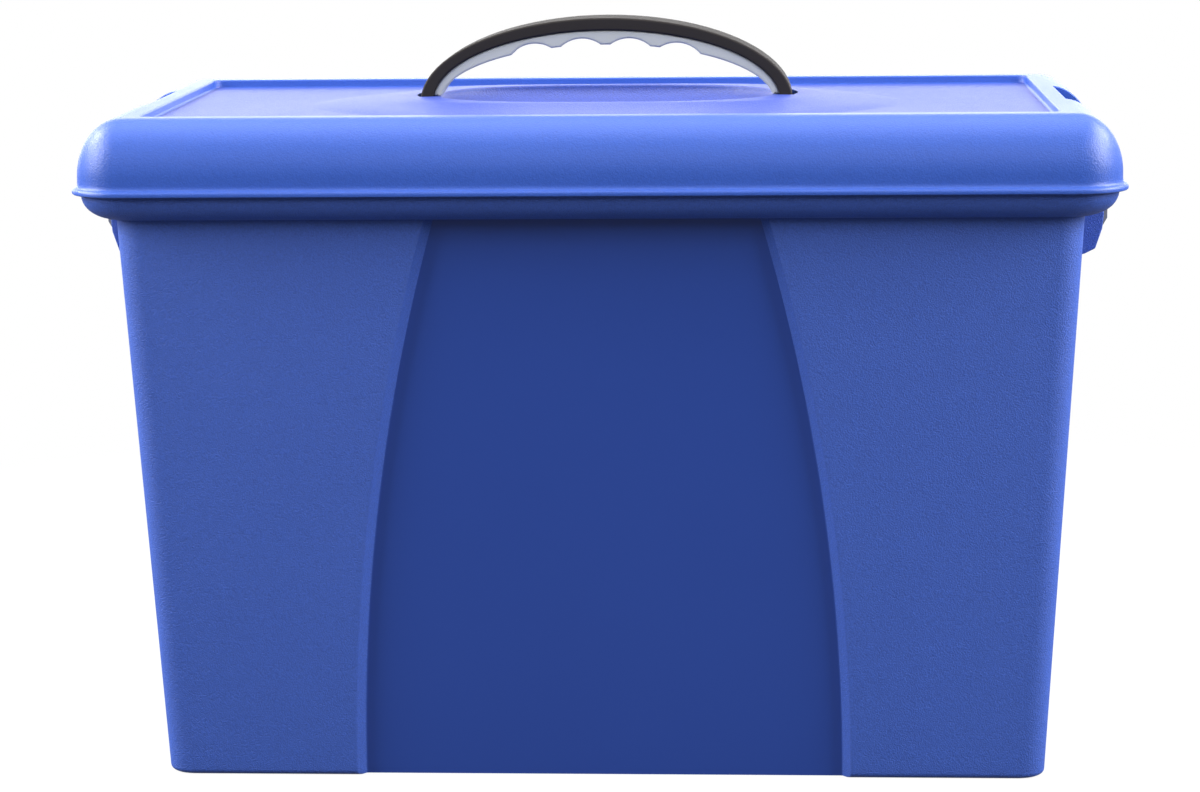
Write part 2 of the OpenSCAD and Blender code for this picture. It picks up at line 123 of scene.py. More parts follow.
# places: x is half a width, and z a height over the base
skirt_x = lid_hi.x - BEAD_OUT
shoulder_x = skirt_x - SKIRT_OUT
wall_x = shoulder_x - SHOULDER_OUT
base_x = wall_x - DRAFT
crest_x = skirt_x - ROUND_W
recess_x = crest_x - BORDER_W
skirt_r = SHOULDER_R + SKIRT_OUT
pad_z = lid_hi.z
crest_z = pad_z - PAD_RISE
lid_z = crest_z - LID_H
recess_z = crest_z - RECESS_DEPTH
round_z = crest_z - ROUND_H
shoulder_z = lid_z - LID_GAP
wall_h = shoulder_z - SHOULDER_H
lip_z = shoulder_z + LIP_H
lip_x = skirt_x - WALL - LIP_GAP
lip_in_x = lip_x - WALL
worked_out = {"crest": crest_z, "shoulder": shoulder_z, "half base": base_x}
print({name: round(value / MM, 2) for name, value in worked_out.items()})
FRAME_MATCH = 0.2 * MM
assert abs(tub_hi.z - lip_z) < FRAME_MATCH and abs(tub_lo.z) < FRAME_MATCH

# %% [markdown]
# ## How the skins are made
# A moulding is a stack of rings: each ring is a rounded rectangle at one height, and neighbouring
# rings are joined by quads. The same number of points goes round every ring, so a groove or a notch
# is only a matter of moving some columns of the grid. That keeps the edges crisp, with no cutting.
# A Boolean would be quicker to write, but it leaves long thin faces that shade badly on soft plastic.

# %% Ring helpers
CORNER_STEPS = 14
END_STEPS, FRONT_STEPS = 14, 16


def half_line(marks, far, steps):
    """Places from -far to far that hold the marks, of which the first is 0, and even steps outside them."""
    side = np.concatenate([marks, np.linspace(marks[-1], far, steps + 1)[1:]])
    return np.concatenate([-side[::-1], side[1:]])


def ring(hx, hy, r, end_y, front_x):
    """A rounded rectangle: right end, then the back, the left end and the front, with its corners."""
    sy, sx = hy - r, hx - r
    arc = np.linspace(0, math.pi / 2, CORNER_STEPS + 1)[1:-1]
    ends, fronts = end_y(sy), front_x(sx)
    parts = []
    for quarter in range(4):
        angle = quarter * math.pi / 2
        if quarter in (0, 2):
            sign = 1 if quarter == 0 else -1
            parts.append(np.column_stack([np.full(len(ends), sign * hx), sign * ends]))
        else:
            sign = 1 if quarter == 1 else -1
            parts.append(np.column_stack([-sign * fronts, np.full(len(fronts), sign * hy)]))
        cx = sx if quarter in (0, 3) else -sx
        cy = sy if quarter in (0, 1) else -sy
        parts.append(np.column_stack([cx + r * np.cos(angle + arc), cy + r * np.sin(angle + arc)]))
    return np.concatenate(parts)


def grid_mesh(name, rows, closed_start=False, closed_end=False):
    """A mesh of quads through rings of equal length, with an n-gon over either end."""
    rows = [np.asarray(r) for r in rows]
    n = len(rows[0])
    faces = [
        (k * n + i, k * n + (i + 1) % n, (k + 1) * n + (i + 1) % n, (k + 1) * n + i)
        for k in range(len(rows) - 1)
        for i in range(n)
    ]
    if closed_start:
        faces.append(tuple(range(n - 1, -1, -1)))
    if closed_end:
        faces.append(tuple((len(rows) - 1) * n + i for i in range(n)))
    mesh = bpy.data.meshes.new(name)
    mesh.from_pydata(np.concatenate(rows).tolist(), [], faces)
    mesh.validate()
    piece = bpy.data.objects.new(name, mesh)
    bpy.context.scene.collection.objects.link(piece)
    return piece


print("points in a rounded corner:", CORNER_STEPS - 1)

# %% [markdown]
# ## Finishing a mesh
# Smooth shading averages the faces round each point, so a big flat face next to a small fillet
# would shade as if it were bent. Weighted normals let the big faces win, and edges above a set
# angle stay sharp. The same finish is used on the skins and on the CAD pieces.

# %% Finish helper
SHARP_ANGLE = math.radians(38)
WELD_REACH = 0.02 * MM
ROUNDING_STEPS = 4
BIG_FACE_WEIGHT = 80


def finish_mesh(piece, rounding_width=0.0):
    """Smooth shading with sharp edges kept, after a small rounding of the edges where it is asked."""
    if rounding_width:
        piece.modifiers.new("weld", "WELD").merge_threshold = WELD_REACH
        rounding = piece.modifiers.new("rounding", "BEVEL")
        rounding.width, rounding.segments = rounding_width, ROUNDING_STEPS
        rounding.limit_method, rounding.angle_limit = "ANGLE", SHARP_ANGLE
        rounding.use_clamp_overlap = False
    piece.data.shade_smooth()
    piece.data.set_sharp_from_angle(angle=math.pi if rounding_width else SHARP_ANGLE)
    normals = piece.modifiers.new("normals", "WEIGHTED_NORMAL")
    normals.keep_sharp, normals.weight = True, BIG_FACE_WEIGHT


print("sharp above", round(math.degrees(SHARP_ANGLE)), "degrees")

# %% [markdown]
# ## The lid
# The lid is a shell of even thickness. From its rim upwards it has a bead, a short skirt, a wide
# round-over, a flat border, and a shallow recess. In the recess a raised pad carries the handle,
# with a finger scoop sunk in it. At each end a notch takes the latch. The outside and the inside
# are both stacks of rings, joined at the rim and closed at the middle.

# %% Sizes of the pad, scoop and notch
SCOOP_L, SCOOP_W, SCOOP_D, SCOOP_POWER = 72.4 * MM, 43 * MM, 10 * MM, 2.6
PAD_RIM, PAD_FRONT = 4 * MM, 58 * MM
PAD_END = 85.2 * MM
PAD_FOOT = 131.2 * MM
NOTCH_HALF = 31.8 * MM
LATCH_T, LATCH_GAP, LATCH_SINK, LATCH_INSET = 3 * MM, 0.4 * MM, 3 * MM, 0.2 * MM
NOTCH_IN = 1.8 * MM

seat_x = skirt_x - LATCH_INSET - LATCH_T - LATCH_GAP
seat_rise = ROUND_H - LATCH_SINK - LATCH_T - LATCH_GAP
notch_x = crest_x + NOTCH_IN
recess_y = recess_x - HALF_DIFF
print("seat", round(seat_x / MM, 2), "notch starts at", round(notch_x / MM, 2))

# %% Where the lid's columns stand
EDGE, CRISP = 0.5 * MM, 0.02 * MM
EDGE_MARKS = np.array([-EDGE, -CRISP, CRISP, EDGE])
NOTCH_FALL = [1, 0.93, 0.07, 0]
NOTCH_STEPS, LID_FRONT_POINTS = 8, 81
END_REACH = 6 * MM


def notch_marks(half):
    """Places across an end: evenly over the notch, then close together at its side wall."""
    return np.concatenate([np.linspace(0, half - 4 * EDGE, NOTCH_STEPS), half + EDGE_MARKS])


def notch_columns(half):
    """The columns of an end face, for a notch of this half-width."""
    return lambda far: half_line(notch_marks(half), far, END_STEPS)


def lid_fronts(far):
    return np.linspace(-far, far, LID_FRONT_POINTS)


def notch_weight(points, half):
    """1 inside the notch's width and 0 outside, with a little rounding at its two edges."""
    weight = np.interp(np.abs(points[:, 1]) - half, EDGE_MARKS, NOTCH_FALL)
    return weight * (np.abs(points[:, 0]) > crest_x - END_REACH)


print("points round an end:", len(notch_columns(NOTCH_HALF)(90 * MM)))

# %% Rings of the lid below the border
OVER_STEPS = 25
CREST_R = 3 * MM


def lid_ring(x, z, r, half, pocket=None):
    """One ring of the lid. pocket is the (x, z) that the notch's columns go to instead."""
    flat = ring(x, x - HALF_DIFF, r, notch_columns(half), lid_fronts)
    points = np.column_stack([flat, np.full(len(flat), z)])
    if pocket:
        weight = notch_weight(points, half)
        points[:, 0] += weight * (np.sign(points[:, 0]) * pocket[0] - points[:, 0])
        points[:, 2] += weight * (pocket[1] - z)
    return points


def over_profile(width, height, seat, rise, stop_x):
    """The round-over as rows of (x, z, pocket x, pocket z), and the angle at which it stops."""
    out_end = math.acos((stop_x - crest_x) / width) if stop_x > crest_x else math.pi / 2
    seat_end = math.acos(max(stop_x - crest_x, 0) / (seat - crest_x))
    rows = []
    for t in np.linspace(0, 1, OVER_STEPS):
        a, b = t * out_end, t * seat_end
        rows.append((crest_x + width * math.cos(a), round_z + height * math.sin(a),
                     crest_x + (seat - crest_x) * math.cos(b), round_z + rise * math.sin(b)))
    return rows, out_end


# shares of the bead's reach and of its height: the underside, a narrow upright face, then a rounded top
BEAD_SHAPE = [(0.5, 0), (0.85, 0.03), (0.97, 0.12), (1, 0.25), (1, 0.48), (0.96, 0.64), (0.86, 0.78),
              (0.7, 0.9), (0.5, 0.98), (0.3, 1.06), (0.15, 1.2), (0.05, 1.45), (0.01, 1.8)]
# heights on the notch's end wall, as shares of it: its foot, then just under its rounded head
NOTCH_WALL_SHARES = (0.02, 0.93)


def lid_outside_low():
    rings = []
    for out, up in BEAD_SHAPE:
        reach, z = BEAD_OUT * out, lid_z + BEAD_H * up
        rings.append(lid_ring(skirt_x + reach, z, skirt_r + reach, NOTCH_HALF, (seat_x, z)))
    over, end = over_profile(ROUND_W, ROUND_H, seat_x, seat_rise, notch_x)
    for x, z, px, pz in over:
        rings.append(lid_ring(x, z, max(skirt_r - (skirt_x - x), CREST_R), NOTCH_HALF, (px, pz)))
    top_x, top_z, _, wall_foot = over[-1]
    for share in NOTCH_WALL_SHARES:
        pocket = (notch_x - CRISP, wall_foot + share * (top_z - wall_foot))
        rings.append(lid_ring(top_x - CRISP, top_z, CREST_R, NOTCH_HALF, pocket))
    for a in np.linspace(end, math.pi / 2, 4)[1:]:
        x = crest_x + ROUND_W * math.cos(a)
        rings.append(lid_ring(x, round_z + ROUND_H * math.sin(a), CREST_R, NOTCH_HALF))
    return rings


print("rings below the border:", len(lid_outside_low()))

# %% [markdown]
# ### The pad and the scoop
# Inside the recess the rings change from a rounded rectangle to the pad's foot, its flat oval top
# and the scoop's blunt oval. Each column runs along one ray from the middle of the lid, so the rings
# stay aligned. A convex outline meets a ray at the nearest of its edges, and a superellipse meets it
# where the powers of the two shares add up to one.

# %% Outlines along rays
PAD_WAIST = 0.55
PAD_CORNER_POWER = 12


def oval_along(directions, a, b, power):
    """Points where rays from the middle meet a superellipse."""
    shares = np.abs(directions[:, 0] / a) ** power + np.abs(directions[:, 1] / b) ** power
    return directions * (shares ** (-1 / power))[:, None]


def pad_foot_along(directions, front_y):
    """Points where the rays meet the pad's eight-cornered foot."""
    waist_y = SCOOP_W * PAD_WAIST
    slant = np.array([front_y - waist_y, PAD_FOOT - PAD_FRONT])
    slant_reach = slant @ np.array([PAD_FOOT, waist_y])
    away = np.abs(directions)
    shares = np.column_stack([away[:, 0] / PAD_FOOT, away[:, 1] / front_y, away @ slant / slant_reach])
    return directions / ((shares ** PAD_CORNER_POWER).sum(1) ** (1 / PAD_CORNER_POWER))[:, None]


def at_height(flat, z):
    """Flat points, lifted to one height."""
    return np.column_stack([flat, np.full(len(flat), z)])


def between(a, b, shares):
    """Rings part of the way from ring a to ring b; a share is one number or (in plan, in height)."""
    for share in shares:
        plan, high = share if isinstance(share, tuple) else (share, share)
        flat = a[:, :2] + plan * (b[:, :2] - a[:, :2])
        yield np.column_stack([flat, a[:, 2] + high * (b[:, 2] - a[:, 2])])


print("pad foot to", round(PAD_FOOT / MM, 1), "mm from the middle")

# %% From the recess floor to the bottom of the scoop
PAD_FOOT_GAP = 0.4 * MM
PAD_SLOPE_STEPS, PAD_SLOPE_BEND = 11, 0.045
SCOOP_EDGE = 0.9 * MM
BOWL_POWER, BOWL_STEPS = 0.8, 22
BOWL_START, BOWL_END = 0.03, math.radians(87)
# where rings stand between two forms, as shares of the way
FLOOR_SHARES, RIM_SHARES, INNER_RIM_SHARES = (0.3, 0.6, 0.85, 0.97), (0.15,), (0.15, 0.5, 0.8)


def pad_and_scoop(rings, floor_z, top_z, half, grow, start):
    """Carries a stack of rings over the recess floor, up the pad and down into the scoop."""
    rays = ring(recess_x, recess_y, RECESS_R, notch_columns(half), lid_fronts)
    foot = at_height(pad_foot_along(rays, recess_y - RECESS_EDGE - PAD_FOOT_GAP), floor_z)
    top = at_height(oval_along(rays, PAD_END, SCOOP_W + PAD_RIM, SCOOP_POWER + 1), top_z)
    rings += between(rings[-1], foot, FLOOR_SHARES)
    slope = np.linspace(0, 1, PAD_SLOPE_STEPS)
    rings += between(foot, top, [(t, t + PAD_SLOPE_BEND * math.sin(math.tau * t)) for t in slope])
    depth = SCOOP_D + grow

    def scoop_oval(length, width, z):
        return at_height(oval_along(rays, length, width, SCOOP_POWER), z)

    def bowl(a):
        k = math.cos(a) ** BOWL_POWER
        return scoop_oval(SCOOP_L * k + grow, SCOOP_W * k + grow, crest_z - depth * math.sin(a))

    rings += between(top, bowl(start), INNER_RIM_SHARES if grow else RIM_SHARES)
    if grow == 0:
        for a in np.radians([0, 30, 60, 90]):
            out = SCOOP_EDGE * (1 - math.sin(a))
            rings.append(scoop_oval(SCOOP_L + out, SCOOP_W + out, pad_z - SCOOP_EDGE * (1 - math.cos(a))))
        start = math.asin((SCOOP_EDGE - PAD_RISE) / depth) + BOWL_START
    rings += [bowl(a) for a in np.linspace(start, BOWL_END, BOWL_STEPS)]
    return rings


print("scoop to", round(SCOOP_L / MM, 1), "mm from the middle")

# %% Build the lid
# how far out from the recess's wall, and how far down from the border, in millimetres
RECESS_SHAPE = [(0.8, 0), (0.35, 0.12), (0.1, 0.4), (0, 0.9), (-0.1, 2.8), (-0.3, 3.3), (-0.7, 3.52),
                (-1.2, 3.6)]
INNER_R, INNER_RIM_H = 2 * MM, 3 * MM
INNER_BOWL_START = math.radians(12)


def lid_outside():
    """From the bead over the border, down into the recess and on to the scoop."""
    rings = lid_outside_low()
    for out, down in RECESS_SHAPE:
        rings.append(lid_ring(recess_x + out * MM, crest_z - down * MM, RECESS_R, NOTCH_HALF))
    return pad_and_scoop(rings, recess_z, pad_z, NOTCH_HALF, 0, 0)


def lid_inside():
    """The same forms, one wall further in, with pockets behind the notches."""
    half, stop = NOTCH_HALF + WALL, notch_x - WALL
    inner_x, inner_r, seat_in = skirt_x - WALL, skirt_r - WALL, seat_x - WALL
    rings = [lid_ring(inner_x, z, inner_r, half, (seat_in, z)) for z in (lid_z, lid_z + INNER_RIM_H)]
    height = ROUND_H - RECESS_DEPTH - WALL
    over, _ = over_profile(ROUND_W - WALL, height, seat_in, seat_rise - WALL, crest_x)
    for x, z, px, pz in over:
        rings.append(lid_ring(x, z, max(inner_r - (inner_x - x), INNER_R), half, (max(px, stop), pz)))
    ceiling, pocket_z = over[-1][1], over[-1][3]
    rings.append(lid_ring(stop, ceiling, INNER_R, half, (stop, pocket_z)))
    rings.append(lid_ring(stop - CRISP, ceiling, INNER_R, half))
    rings.append(lid_ring(recess_x - RECESS_EDGE, ceiling, RECESS_R, half))
    return pad_and_scoop(rings, ceiling, pad_z - WALL, half, WALL, INNER_BOWL_START)


lid_rings = lid_inside()[::-1] + lid_outside()
lid_moulding = grid_mesh("lid_moulding", lid_rings, closed_start=True, closed_end=True)
print("lid faces:", len(lid_moulding.data.polygons))

# %% [markdown]
# ## The tub
# The walls lean out from the base to a rounded shoulder, whose inside is the ledge for hanging
# files. The front and back each have a sunk panel, narrower at the top, with long curved side
# steps. The panel's columns follow the curve at every height, so the step stays one clean band.

# %% Sizes of the panel and ears
PANEL_HALF, PANEL_ARC, PANEL_DEPTH, PANEL_STEP = 105.3 * MM, 855 * MM, 4.5 * MM, 3.4 * MM
PIVOT_IN, PIVOT_DROP = 6.6 * MM, 14.3 * MM
EAR_Y, EAR_T, EAR_DROP, EAR_INSET = 42.6 * MM, 3.5 * MM, 8.6 * MM, 0.8 * MM
EAR_CHAMFER, EAR_SLOPE, EAR_TOP_GAP = 0.28, 0.7, 0.05 * MM
EAR_ROUNDING, EAR_SHARP = 0.5 * MM, math.radians(20)
PIN_R, PIN_SEAT = 1.52 * MM, 2.51 * MM
pivot_x, pivot_z = shoulder_x - PIVOT_IN, wall_h - PIVOT_DROP
# how far out from the panel's edge, and the share of the panel's depth there
STEP_SHAPE = [(-PANEL_STEP - 0.8 * MM, 1), (-PANEL_STEP - 0.1 * MM, 0.985), (-PANEL_STEP + 0.4 * MM, 0.88),
              (-PANEL_STEP / 2, 0.5), (-0.4 * MM, 0.12), (0.1 * MM, 0.015), (0.8 * MM, 0)]


def wall_at(z):
    """Half the tub's width at a height; the wall leans out evenly up to the shoulder."""
    return base_x + DRAFT * min(max(z, 0), wall_h) / wall_h


def panel_at(z):
    """Half the sunk panel's width at a height, on its long side curve."""
    return PANEL_HALF - PANEL_ARC + math.sqrt(PANEL_ARC ** 2 - min(max(z, 0), wall_h) ** 2)


print("panel half-width", round(panel_at(0) / MM, 1), "to", round(panel_at(wall_h) / MM, 1))

# %% Rings of the tub
LIP_HALF = NOTCH_HALF + WALL + LIP_GAP
LIP_FALL = [1, 0.95, 0.05, 0]
PANEL_STEPS = 20


def tub_fronts(half):
    """The columns of the front and back, which follow the panel's side step."""
    inside = np.linspace(0, half + STEP_SHAPE[0][0], PANEL_STEPS)[:-1]
    marks = np.concatenate([inside, [half + away for away, _ in STEP_SHAPE]])
    return lambda far: half_line(marks, far, FRONT_STEPS)


def tub_columns(far):
    """The columns of an end, with sharp places at the lip's cut and at the ears."""
    return half_line(np.concatenate([notch_marks(LIP_HALF), EAR_Y + EDGE_MARKS]), far, END_STEPS)


def tub_ring(x, z, r, panel_depth=0.0, grow=0.0):
    """One ring of the tub. Its panel columns sink to the panel's plane, where that lies deeper."""
    half = panel_at(z) + grow
    flat = ring(x, x - HALF_DIFF, r, tub_columns, tub_fronts(half))
    points = at_height(flat, z)
    if panel_depth:
        face_y = wall_at(z) - HALF_DIFF
        away = np.abs(points[:, 0]) - half
        weight = np.interp(away, *zip(*STEP_SHAPE))
        on_face = np.abs(points[:, 1]) > x - HALF_DIFF - EDGE
        limit = face_y - weight * panel_depth
        sunk = np.minimum(np.abs(points[:, 1]), limit)
        points[:, 1] = np.where(on_face & (weight > 0), np.sign(points[:, 1]) * sunk, points[:, 1])
    return points


def cut_for_latch(points):
    """The shoulder stops at the latch's seat, and the lip stops short of the lid's pocket."""
    across = np.abs(points[:, 1])
    ends = np.abs(points[:, 0]) > crest_x
    notch = np.interp(across - EAR_Y, EDGE_MARKS, NOTCH_FALL)
    deep = np.where(ends & (np.abs(points[:, 0]) > seat_x), notch, 0)
    points[:, 0] += deep * (np.sign(points[:, 0]) * seat_x - points[:, 0])
    low = np.interp(across - LIP_HALF, EDGE_MARKS, LIP_FALL)
    drop = np.where(ends & (points[:, 2] > shoulder_z), low, 0)
    points[:, 2] -= drop * (points[:, 2] - shoulder_z)
    return points


print("columns round the tub:", len(tub_ring(wall_x, wall_h, TUB_R)))

# %% Rings of the tub's outside and lip
OUTSIDE_STEPS, SHOULDER_STEPS = 46, 15
PANEL_TOP_GAP, PANEL_CLOSE = 0.8 * MM, 0.1 * MM
LIP_ROUNDING, LIP_BLUNTNESS, LIP_TOP = 0.8 * MM, 0.7, 0.9 * MM


def tub_outside():
    """From the rounded base edge up the leaning walls and round the shoulder."""
    rings = []
    for a in np.radians([0, 15, 30, 45, 60, 75, 90]):
        z = BASE_EDGE * (1 - math.cos(a))
        rings.append(tub_ring(wall_at(z) - BASE_EDGE * (1 - math.sin(a)), z, TUB_R, PANEL_DEPTH))
    heights = np.linspace(BASE_EDGE, wall_h - PANEL_TOP_GAP, OUTSIDE_STEPS)[1:]
    rings += [tub_ring(wall_at(z), z, TUB_R, PANEL_DEPTH) for z in heights]
    # the panel closes in three rings that lie close together, so that its top edge stays sharp
    rings.append(tub_ring(wall_x, wall_h - PANEL_CLOSE, TUB_R, PANEL_DEPTH))
    rings.append(tub_ring(wall_x, wall_h - PANEL_CLOSE / 2, TUB_R, PANEL_DEPTH * 0.97))
    rings.append(tub_ring(wall_x + PANEL_CLOSE, wall_h, TUB_R))
    for a in np.linspace(0, math.pi / 2, SHOULDER_STEPS)[1:]:
        s = math.sin(a)
        r = TUB_R + (SHOULDER_R - TUB_R) * s
        rings.append(tub_ring(wall_x + SHOULDER_OUT * s, shoulder_z - SHOULDER_H * math.cos(a), r))
    rings.append(tub_ring(shoulder_x - EDGE, shoulder_z + CRISP / 2, SHOULDER_R))
    return rings


def tub_lip():
    """Up the outside of the lip and over its blunt top."""
    lip_r = SHOULDER_R - (shoulder_x - lip_x)
    rings = [tub_ring(lip_x, z, lip_r) for z in (shoulder_z + CRISP, lip_z - LIP_TOP)]
    middle, half_t = (lip_x + lip_in_x) / 2, WALL / 2
    for a in np.radians([0, 30, 60, 80, 100, 120, 150, 180]):
        c = math.copysign(abs(math.cos(a)) ** LIP_BLUNTNESS, math.cos(a))
        x = middle + half_t * c
        rings.append(tub_ring(x, lip_z - LIP_ROUNDING * (1 - math.sin(a)), SHOULDER_R - (shoulder_x - x)))
    return rings


print("lip from", round(lip_in_x / MM, 1), "to", round(lip_x / MM, 1), "mm from the middle")

# %% Build the tub's skin
INSIDE_STEPS = 40
# the ledge: the fillet at its outer side, and the small bevel where it turns down into the wall
LEDGE_FILLET, LEDGE_BEVEL, LEDGE_RIM = 1 * MM, 0.2 * MM, 0.8 * MM
LIP_INNER_TOP, LIP_INNER_FOOT = 2 * MM, 1.2 * MM


def tub_inside():
    """Down the inside of the lip, over the ledge, down the walls and round the floor's edge."""
    in_r, ledge_z = TUB_R - WALL, wall_h + WALL
    ledge_r = SHOULDER_R - (shoulder_x - lip_in_x)
    lip_heights = (lip_z - LIP_INNER_TOP, shoulder_z, ledge_z + LIP_INNER_FOOT)
    rings = [tub_ring(lip_in_x, z, ledge_r) for z in lip_heights]
    for a in np.radians([0, 30, 60, 90]):
        inward, up = LEDGE_FILLET * (1 - math.cos(a)), LEDGE_FILLET * (1 - math.sin(a))
        rings.append(tub_ring(lip_in_x - inward, ledge_z + up, ledge_r))
    rings.append(tub_ring(wall_x - WALL + LEDGE_RIM, ledge_z, in_r))
    depth = PANEL_DEPTH + WALL
    rings.append(tub_ring(wall_x - WALL + LEDGE_BEVEL, ledge_z - LEDGE_BEVEL, in_r, depth, WALL))
    for z in np.linspace(ledge_z - PANEL_TOP_GAP, WALL + FLOOR_FILLET, INSIDE_STEPS):
        rings.append(tub_ring(wall_at(z) - WALL, z, in_r, depth, WALL))
    for a in np.radians([75, 60, 45, 30, 15, 0]):
        z = WALL + FLOOR_FILLET * (1 - math.cos(a))
        rings.append(tub_ring(wall_at(z) - WALL - FLOOR_FILLET * (1 - math.sin(a)), z, in_r, depth, WALL))
    return rings


tub_rings = [cut_for_latch(r) for r in tub_outside() + tub_lip() + tub_inside()]
tub_moulding = grid_mesh("tub_moulding", tub_rings, closed_start=True, closed_end=True)
print("tub faces:", len(tub_moulding.data.polygons))

# %% [markdown]
# ### The ears that carry each latch
# Two small plates stand under the shoulder at each end, with a hole for the hinge pin. The hole
# does not come out at the front, so the front plate shows a plain face. They are flat prisms, so
# each is an outline with thickness. They are joined to the skin with an exact Boolean, because they
# meet flat walls there and leave nothing long and thin in view.

# %% Helpers for prisms and Booleans


def prism(name, outline, low_y, high_y):
    """An X-Z outline, given anticlockwise as seen from the front, made solid from low_y to high_y."""
    n = len(outline)
    points = [(x, y, z) for y in (low_y, high_y) for x, z in outline]
    faces = [tuple(range(n)), tuple(range(2 * n - 1, n - 1, -1))]
    faces += [(i, i + n, (i + 1) % n + n, (i + 1) % n) for i in range(n)]
    mesh = bpy.data.meshes.new(name)
    mesh.from_pydata(points, [], faces)
    piece = bpy.data.objects.new(name, mesh)
    bpy.context.scene.collection.objects.link(piece)
    return piece


def apply_modifiers(piece):
    """Bakes a piece's modifiers into its mesh."""
    ready = bpy.data.meshes.new_from_object(piece.evaluated_get(bpy.context.evaluated_depsgraph_get()))
    piece.modifiers.clear()
    piece.data = ready


def combine(piece, other, operation):
    """Joins other to piece, or cuts it away, and removes other."""
    change = piece.modifiers.new("combine", "BOOLEAN")
    change.object, change.operation, change.solver = other, operation, "EXACT"
    apply_modifiers(piece)
    bpy.data.objects.remove(other)


print("prism and Boolean helpers ready")

# %% Build the ears


def ear_outline(side):
    """An ear seen from the front: it grows out of the wall, the shoulder's underside and the seat."""
    wall_in = wall_at(pivot_z) - WALL / 2
    top_in = wall_h + WALL / 2
    low_z, high_z = pivot_z - EAR_DROP, shoulder_z - EAR_TOP_GAP
    chamfer = EAR_DROP * EAR_CHAMFER
    inner = seat_x - WALL + WALL / 4
    out_x = shoulder_x - EAR_INSET
    points = [(wall_in, low_z), (pivot_x - chamfer, low_z), (pivot_x + chamfer, low_z + chamfer),
              (out_x - EAR_INSET * EAR_SLOPE, pivot_z + chamfer), (out_x, pivot_z + EAR_DROP),
              (out_x, high_z), (inner, high_z), (inner, top_in), (wall_in, top_in)]
    return points if side > 0 else [(-x, z) for x, z in reversed(points)]


def build_ear(side, end):
    middle = end * (EAR_Y + EAR_T / 2)
    ear = prism("ear", ear_outline(side), middle - EAR_T / 2, middle + EAR_T / 2)
    rounding = ear.modifiers.new("rounding", "BEVEL")
    rounding.width, rounding.segments = EAR_ROUNDING, 3
    rounding.limit_method, rounding.angle_limit = "ANGLE", EAR_SHARP
    apply_modifiers(ear)
    return ear


HOLE_POINTS = 32
for side in (-1, 1):
    ears = [build_ear(side, end) for end in (-1, 1)]
    for ear in ears:
        combine(tub_moulding, ear, "UNION")
    turns = np.linspace(0, math.tau, HOLE_POINTS + 1)[:-1]
    hole = [(side * pivot_x + PIN_R * math.cos(a), pivot_z + PIN_R * math.sin(a)) for a in turns]
    combine(tub_moulding, prism("hole", hole, -EAR_Y - PIN_SEAT, EAR_Y + EAR_T + MM), "DIFFERENCE")
print("tub faces with ears:", len(tub_moulding.data.polygons))

# %% [markdown]
# ### The slots for the handle
# The handle's two feet pass through the lid in six-cornered slots just beyond the ends of the scoop.
# The pad is flat there, so a Boolean with a straight prism cuts them cleanly.

# %% Cut the handle's slots
SLOT_REACH = 8 * MM
SLOT_IN, SLOT_NEAR, SLOT_BAY, SLOT_HALF = 74.8 * MM, 81.4 * MM, 83.2 * MM, 12.4 * MM
slot = np.array([(SLOT_IN, -SLOT_HALF), (SLOT_NEAR, -SLOT_HALF), (SLOT_BAY, -SLOT_HALF / 3),
                 (SLOT_BAY, SLOT_HALF / 3), (SLOT_NEAR, SLOT_HALF), (SLOT_IN, SLOT_HALF)])
for outline in (slot, -slot):
    ends = [at_height(outline, recess_z + away) for away in (-SLOT_REACH, SLOT_REACH)]
    combine(lid_moulding, grid_mesh("slot", ends, closed_start=True, closed_end=True), "DIFFERENCE")
print("lid faces with slots:", len(lid_moulding.data.polygons))

# %% [markdown]
# ## From CAD part to dressed part
# The two skins take the place of the CAD tub and lid, and ride on the same bodies, so that the lid
# lifts off as it does in the hand. The handle, the latches and the pins are small and hard, so the
# CAD solids serve as they are: a bevel modifier rounds their edges, where real mouldings catch light.

# %% Finish the skins and the CAD pieces
finish_mesh(tub_moulding)
finish_mesh(lid_moulding)
EDGE_ROUNDINGS = {"handle": 0.9 * MM, "latch": 0.45 * MM, "latch_pin": 0.15 * MM}
HARD_PIECES = {"handle_strap": "handle", "handle_grip": "handle", "latch_left": "latch",
               "latch_right": "latch", "latch_pin_left": "latch_pin", "latch_pin_right": "latch_pin"}
for node, kind in HARD_PIECES.items():
    finish_mesh(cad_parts[node], EDGE_ROUNDINGS[kind])
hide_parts("tub")
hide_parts("lid")
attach(tub_moulding, "tub_body")
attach(lid_moulding, "lid_body")
print("pieces finished:", 2 + len(HARD_PIECES))

# %% [markdown]
# ## Materials
# All the plastic shares two effects: the fine grain that the mould leaves, and a slow drift of
# colour and gloss over large areas. Each is a shader node group with named inputs, built once.

# %% Helpers for node trees


def new_group(name, inputs, outputs):
    """A shader node group with its named sockets, and its input and output nodes."""
    group = bpy.data.node_groups.new(name, "ShaderNodeTree")
    for label, kind, value in inputs:
        socket = group.interface.new_socket(label, in_out="INPUT", socket_type=kind)
        socket.default_value = value
    for label, kind in outputs:
        group.interface.new_socket(label, in_out="OUTPUT", socket_type=kind)
    return group, group.nodes.new("NodeGroupInput"), group.nodes.new("NodeGroupOutput")


def add(tree, kind, **values):
    """A node with its properties and its input values set by name or number."""
    node = tree.nodes.new(kind)
    for key, value in values.items():
        if hasattr(node, key):
            setattr(node, key, value)
        else:
            socket = int(key[1:]) if key[1:].isdigit() else key.replace("_", " ")
            node.inputs[socket].default_value = value
    return node


print("node helpers ready")

# %% [markdown]
# ### The mould's grain
# A steel mould for this kind of box is roughened with sparks, and the plastic copies its small soft
# pits. Two noises of different size, mixed, give them as a height, which each material then feeds to
# its own bump, at its own depth in millimetres, and to the painted shade in its pits.

# %% Grain group
COARSE_SCALE = 0.38


